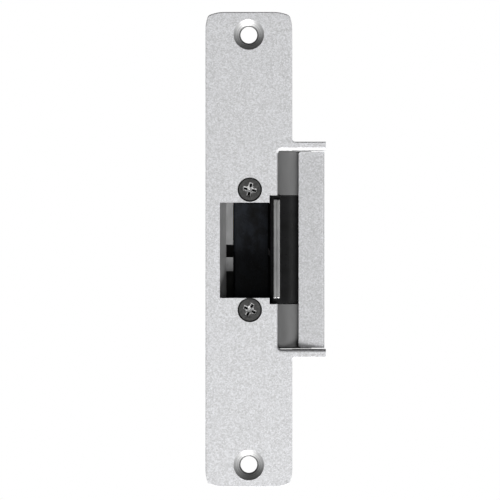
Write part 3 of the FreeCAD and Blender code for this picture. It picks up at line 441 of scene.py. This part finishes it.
# ---------------------------------------------------------------- pieces
PLATE_SCREW_TURNS = (-27.0, -12.0)  # degrees, lower screw first
HEAD_RINGS = 130
HEAD_SECTORS = 240
HEAD_ROUNDING = 0.12 * MM
HEAD_LAND = 0.30 * MM
HEAD_LAND_DRAFT = 0.03 * MM
SCREW_RADIUS = 2.4 * MM
THREAD_PITCH = 0.9 * MM
THREAD_DEPTH = 0.28 * MM
THREAD_HALF_ROOT = 0.30  # of the pitch
SHANK_CHAMFER = 0.3 * MM

RECESS_ARM = 3.05 * MM
RECESS_CHAMFER = 0.36 * MM
RECESS_WAY = 0.92 * MM
RECESS_CONE = 1.75 * MM
RECESS_CONE_SLOPE = 1.25
RECESS_CHAMFER_SLOPE = 1.1
RECESS_WALL_SLOPE = 3.5
RECESS_FLOOR = 1.6 * MM
RECESS_TIP_RADIUS = 0.9 * MM
RECESS_TIP_SLOPE = 0.35

WIRE_SIDES = 12
STEPS_PER_TURN = 40
SPRING_BAY_GAP = 0.1 * MM
KEEPER_WIRE = 0.5 * MM
KEEPER_SPRING_TURNS = 8.0
KEEPER_SPRING_DEAD = 0.2
KEEPER_LEG_STEPS = 12
KEEPER_LEG_SHORT = 0.2  # of the wire's radius
PLUNGER_WIRE = 0.28 * MM
PLUNGER_SPRING_TURNS = 5.0
PLUNGER_SPRING_DEAD = 0.75

COIL_WIRE = 0.32 * MM
COIL_LAYERS = 3
COIL_SECTORS = 64
COIL_TURN_SHARES = (0.0, 0.15, 0.35, 0.5, 0.65, 0.85)


def add_piece(name, vertices, faces, material, material_slot, *replaced):
    mesh = bpy.data.meshes.new(name)
    mesh.from_pydata(vertices, [], faces)
    mesh.validate()
    bm = bmesh.new()
    bm.from_mesh(mesh)
    bmesh.ops.recalc_face_normals(bm, faces=bm.faces)
    bm.to_mesh(mesh)
    bm.free()
    mesh.shade_smooth()
    mesh.materials.append(material)
    piece = bpy.data.objects.new(name, mesh)
    bpy.context.collection.objects.link(piece)
    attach(piece, BODY)
    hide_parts(*replaced)
    return piece


def ring_faces(first, second, count):
    """Quads between two closed rings of vertices that start at these indices."""
    faces = []
    for i in range(count):
        j = (i + 1) % count
        faces.append((first + i, first + j, second + j, second + i))
    return faces


def recess_depth(u, v):
    """Depth of a cross recess: four tapered arms round a deeper cone."""
    radius = math.hypot(u, v)
    depth = (RECESS_CONE - radius) * RECESS_CONE_SLOPE
    for reach, across in ((abs(u), abs(v)), (abs(v), abs(u))):
        inward = min(RECESS_WAY - across, RECESS_ARM - reach)
        past_chamfer = max(0.0, inward - RECESS_CHAMFER)
        wall = inward * RECESS_CHAMFER_SLOPE + past_chamfer * RECESS_WALL_SLOPE
        depth = max(depth, min(wall, RECESS_FLOOR))
    cone_tip = RECESS_FLOOR + RECESS_TIP_SLOPE * max(0.0, RECESS_TIP_RADIUS - radius)
    return max(0.0, min(depth, cone_tip))


def screw_profile(head_radius, end):
    """Radius and depth below the head's face, from the face's rim to the shank's end."""
    profile = [(head_radius, HEAD_ROUNDING), (head_radius - HEAD_LAND_DRAFT, HEAD_LAND)]
    profile.append((SCREW_RADIUS, HEAD_LAND + head_radius - SCREW_RADIUS))
    half_root = THREAD_HALF_ROOT * THREAD_PITCH
    depth = profile[-1][1] + THREAD_PITCH
    while depth < end - THREAD_PITCH:
        profile.append((SCREW_RADIUS, depth - half_root))
        profile.append((SCREW_RADIUS - THREAD_DEPTH, depth))
        profile.append((SCREW_RADIUS, depth + half_root))
        depth += THREAD_PITCH
    profile.append((SCREW_RADIUS, end - SHANK_CHAMFER))
    profile.append((SCREW_RADIUS - SHANK_CHAMFER, end))
    return profile


def plate_screw(centre_x, centre_z, front, end, head_radius, turn):
    """Vertices and faces of one countersunk screw whose recessed head faces -Y."""
    vertices = [(centre_x, front + recess_depth(0.0, 0.0), centre_z)]
    faces = []

    def add_ring(radius, depth_at):
        for i in range(HEAD_SECTORS):
            angle = 2 * math.pi * i / HEAD_SECTORS
            u = radius * math.cos(angle)
            v = radius * math.sin(angle)
            x = centre_x + radius * math.cos(angle + turn)
            z = centre_z + radius * math.sin(angle + turn)
            vertices.append((x, front + depth_at(u, v), z))

    def face_depth(u, v):
        outward = max(0.0, HEAD_ROUNDING - (head_radius - math.hypot(u, v)))
        rim = HEAD_ROUNDING - math.sqrt(max(0.0, HEAD_ROUNDING**2 - outward**2))
        return recess_depth(u, v) + rim

    for k in range(1, HEAD_RINGS + 1):
        add_ring(head_radius * k / HEAD_RINGS, face_depth)
    for radius, depth in screw_profile(head_radius, end - front):
        add_ring(radius, lambda u, v, depth=depth: depth)
    for i in range(HEAD_SECTORS):
        faces.append((0, 1 + i, 1 + (i + 1) % HEAD_SECTORS))
    rings = (len(vertices) - 1) // HEAD_SECTORS
    for k in range(rings - 1):
        first = 1 + k * HEAD_SECTORS
        faces += ring_faces(first, first + HEAD_SECTORS, HEAD_SECTORS)
    last = 1 + (rings - 1) * HEAD_SECTORS
    faces.append(tuple(range(last, last + HEAD_SECTORS)))
    return vertices, faces


def plate_screws():
    low, high, head_radius, head_x = plate_screw_heads()
    vertices = []
    faces = []
    places = (low.z + head_radius, high.z - head_radius)
    for centre_z, degrees in zip(places, PLATE_SCREW_TURNS):
        turn = math.radians(degrees)
        more, quads = plate_screw(head_x, centre_z, low.y, high.y, head_radius, turn)
        start = len(vertices)
        vertices += more
        faces += [tuple(start + i for i in face) for face in quads]
    add_piece("cross_recess_screws", vertices, faces, SCREW, "black_screw", "plate_screws")


def tube(path, radius):
    """Round wire along a path of points, closed at both ends."""
    vertices = []
    faces = []
    normal = None
    for i, point in enumerate(path):
        before = path[max(0, i - 1)]
        after = path[min(len(path) - 1, i + 1)]
        tangent = (after - before).normalized()
        if normal is None:
            normal = tangent.orthogonal()
        normal = (normal - tangent * normal.dot(tangent)).normalized()
        side = tangent.cross(normal)
        for k in range(WIRE_SIDES):
            angle = 2 * math.pi * k / WIRE_SIDES
            offset = normal * math.cos(angle) + side * math.sin(angle)
            vertices.append(tuple(point + offset * radius))
    for i in range(len(path) - 1):
        faces += ring_faces(i * WIRE_SIDES, (i + 1) * WIRE_SIDES, WIRE_SIDES)
    faces.append(tuple(range(WIRE_SIDES)))
    last = (len(path) - 1) * WIRE_SIDES
    faces.append(tuple(range(last, last + WIRE_SIDES)))
    return vertices, faces


def coil_path(centre_x, centre_y, radius, low, high, turns, dead):
    """A helix whose ends lie flat for `dead` turns, as a wound spring's do."""
    steps = int(turns * STEPS_PER_TURN)
    path = []
    for i in range(steps + 1):
        t = turns * i / steps
        rise = (t - dead) / (turns - 2 * dead)
        z = low + (high - low) * min(1.0, max(0.0, rise))
        angle = 2 * math.pi * t
        x = centre_x + radius * math.cos(angle)
        y = centre_y + radius * math.sin(angle)
        path.append(Vector((x, y, z)))
    return path


def keeper_spring():
    """Torsion spring: close turns round the axle and a leg that reaches back to the cover."""
    low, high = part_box("keeper_spring")
    wire = KEEPER_WIRE
    outer = (high.x - low.x) / 2
    centre_x = (low.x + high.x) / 2
    centre_y = low.y + outer
    mean = outer - wire - SPRING_BAY_GAP
    ends = (low.z + wire, high.z - wire)
    path = coil_path(centre_x, centre_y, mean, *ends, KEEPER_SPRING_TURNS, KEEPER_SPRING_DEAD)
    last = path[-1]
    reach = high.y - wire * KEEPER_LEG_SHORT
    for k in range(1, KEEPER_LEG_STEPS + 1):
        y = centre_y + (reach - centre_y) * k / KEEPER_LEG_STEPS
        path.append(Vector((last.x, y, last.z)))
    vertices, faces = tube(path, wire)
    add_piece("torsion_spring", vertices, faces, DARK_STEEL, "spring_steel", "keeper_spring")


def plunger_spring():
    """Compression spring for the plunger, with a mesh of its own."""
    low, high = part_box("plunger_spring")
    wire = PLUNGER_WIRE
    radius = (high.x - low.x) / 2 - wire
    centre = (low + high) / 2
    ends = (low.z + wire, high.z - wire)
    path = coil_path(
        centre.x, centre.y, radius, *ends, PLUNGER_SPRING_TURNS, PLUNGER_SPRING_DEAD
    )
    vertices, faces = tube(path, wire)
    piece = add_piece(
        "compression_spring", vertices, faces, DARK_STEEL, "spring_steel", "plunger_spring"
    )
    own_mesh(piece)


def coil_turns():
    """The winding as round wire laid turn by turn on the bobbin."""
    low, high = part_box("coil_winding")
    outer = (high.x - low.x) / 2
    centre = (low + high) / 2
    wire = COIL_WIRE
    inner = outer - COIL_LAYERS * wire
    turns = int((high.z - low.z) / wire)
    outline = [(inner, low.z)]
    for turn in range(turns):
        for share in COIL_TURN_SHARES:
            bulge = math.sqrt(max(0.0, 0.25 - (share - 0.5) ** 2)) * wire
            outline.append((outer - wire / 2 + bulge, low.z + (turn + share) * wire))
    outline.append((inner, high.z))
    vertices = []
    faces = []
    for radius, z in outline:
        for k in range(COIL_SECTORS):
            angle = 2 * math.pi * k / COIL_SECTORS
            x = centre.x + radius * math.cos(angle)
            y = centre.y + radius * math.sin(angle)
            vertices.append((x, y, z))
    for i in range(len(outline) - 1):
        faces += ring_faces(i * COIL_SECTORS, (i + 1) * COIL_SECTORS, COIL_SECTORS)
    add_piece("wire_turns", vertices, faces, COPPER, "copper_wire", "coil_winding")


plate_screws()
keeper_spring()
plunger_spring()
coil_turns()


# ---------------------------------------------------------------- stage
FLOOR_Z = -3.40
FLOOR_RADIUS = 6.50
FLOOR_SEGMENTS = 96
FLOOR_MOTTLE_MM = 60.0
FLOOR_GLOW = 0.90
AMBIENT_LOW = 0.88
AMBIENT_HIGH = 0.06
AMBIENT_MIDDLE = 0.42
HORIZON_BLEND = (-0.20, 0.20)  # direction's Z, from low light to overhead
SIDE_BLEND = (0.15, 0.75)  # direction's X, from the middle to the sides

CAMERA_DISTANCE = 1.0
CAMERA_X = 0.00048
CAMERA_Z = -0.00010
FRAMED_WIDTH = 0.2102
SENSOR_WIDTH_MM = 36.0
CLIP_START = 0.01

# name, place, width and power of each light
LIGHTS = (
    ("key", (0.36, -1.68, -2.50), 1.05, 164.0),
    ("right", (1.30, -1.20, -0.10), 0.60, 3.0),
    ("back", (0.35, 0.55, 0.40), 0.50, 2.5),
    ("back_low", (-0.45, 0.50, 0.05), 0.45, 1.6),
)


def area_light(name, place, width, power):
    """A round soft light, aimed at the origin."""
    data = bpy.data.lights.new(name, "AREA")
    data.shape = "DISK"
    data.size = width
    data.energy = power
    light = bpy.data.objects.new(name, data)
    light.location = place
    light.rotation_euler = (-Vector(place)).to_track_quat("-Z", "Y").to_euler()
    bpy.context.collection.objects.link(light)


def pale_floor():
    mesh = bpy.data.meshes.new("floor")
    bm = bmesh.new()
    bmesh.ops.create_circle(bm, cap_ends=True, radius=FLOOR_RADIUS, segments=FLOOR_SEGMENTS)
    bm.to_mesh(mesh)
    bm.free()
    floor = bpy.data.objects.new("floor", mesh)
    floor.location = (0, 0, FLOOR_Z)
    bpy.context.collection.objects.link(floor)
    m = Nodes("pale_floor")
    mottle = m.noise(FLOOR_MOTTLE_MM)
    m.set(Base_Color=m.mix(mottle, grey(0.86), grey(0.90)), Roughness=0.8)
    m.set(Emission_Color=grey(1.0), Emission_Strength=FLOOR_GLOW)
    mesh.materials.append(m.material)


def studio():
    """White behind the object; as light, bright from low down and dim from overhead."""
    world = bpy.data.worlds.new("studio")
    bpy.context.scene.world = world
    world.use_nodes = True
    tree = world.node_tree

    def add(kind, **settings):
        node = tree.nodes.new(kind)
        for key, value in settings.items():
            node.inputs[key].default_value = value
        return node

    seen = tree.nodes["Background"]
    seen.inputs["Color"].default_value = (1, 1, 1, 1)
    ambient = add("ShaderNodeBackground", Color=(0.98, 0.99, 1.0, 1))
    direction = add("ShaderNodeTexCoord")
    parts = add("ShaderNodeSeparateXYZ")

    def ramp(*values):
        node = tree.nodes.new("ShaderNodeMapRange")
        for key, value in zip((1, 2, 3, 4), values):
            node.inputs[key].default_value = value
        return node

    level = ramp(*HORIZON_BLEND, AMBIENT_LOW, AMBIENT_HIGH)
    sides = ramp(*SIDE_BLEND, AMBIENT_MIDDLE, 1.0)
    across = tree.nodes.new("ShaderNodeMath")
    across.operation = "ABSOLUTE"
    strength = tree.nodes.new("ShaderNodeMath")
    strength.operation = "MULTIPLY"
    path = add("ShaderNodeLightPath")
    mix = add("ShaderNodeMixShader")
    link = tree.links.new
    link(direction.outputs["Generated"], parts.inputs[0])
    link(parts.outputs["Z"], level.inputs[0])
    link(parts.outputs["X"], across.inputs[0])
    link(across.outputs[0], sides.inputs[0])
    link(level.outputs[0], strength.inputs[0])
    link(sides.outputs[0], strength.inputs[1])
    link(strength.outputs[0], ambient.inputs["Strength"])
    link(path.outputs["Is Camera Ray"], mix.inputs[0])
    link(ambient.outputs[0], mix.inputs[1])
    link(seen.outputs[0], mix.inputs[2])
    link(mix.outputs[0], tree.nodes["World Output"].inputs[0])
    bpy.context.scene.view_settings.view_transform = "Standard"


def camera():
    """Square to the faceplate's front, 1 m away, framing 210 mm."""
    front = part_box("faceplate")[0].y
    data = bpy.data.cameras.new("camera")
    data.sensor_width = SENSOR_WIDTH_MM
    data.lens = data.sensor_width * CAMERA_DISTANCE / FRAMED_WIDTH
    data.clip_start = CLIP_START
    cam = bpy.data.objects.new("camera", data)
    cam.location = (CAMERA_X, front - CAMERA_DISTANCE, CAMERA_Z)
    cam.rotation_euler = (math.radians(90), 0, 0)
    bpy.context.collection.objects.link(cam)
    bpy.context.scene.camera = cam


camera()
studio()
pale_floor()
for settings in LIGHTS:
    area_light(*settings)
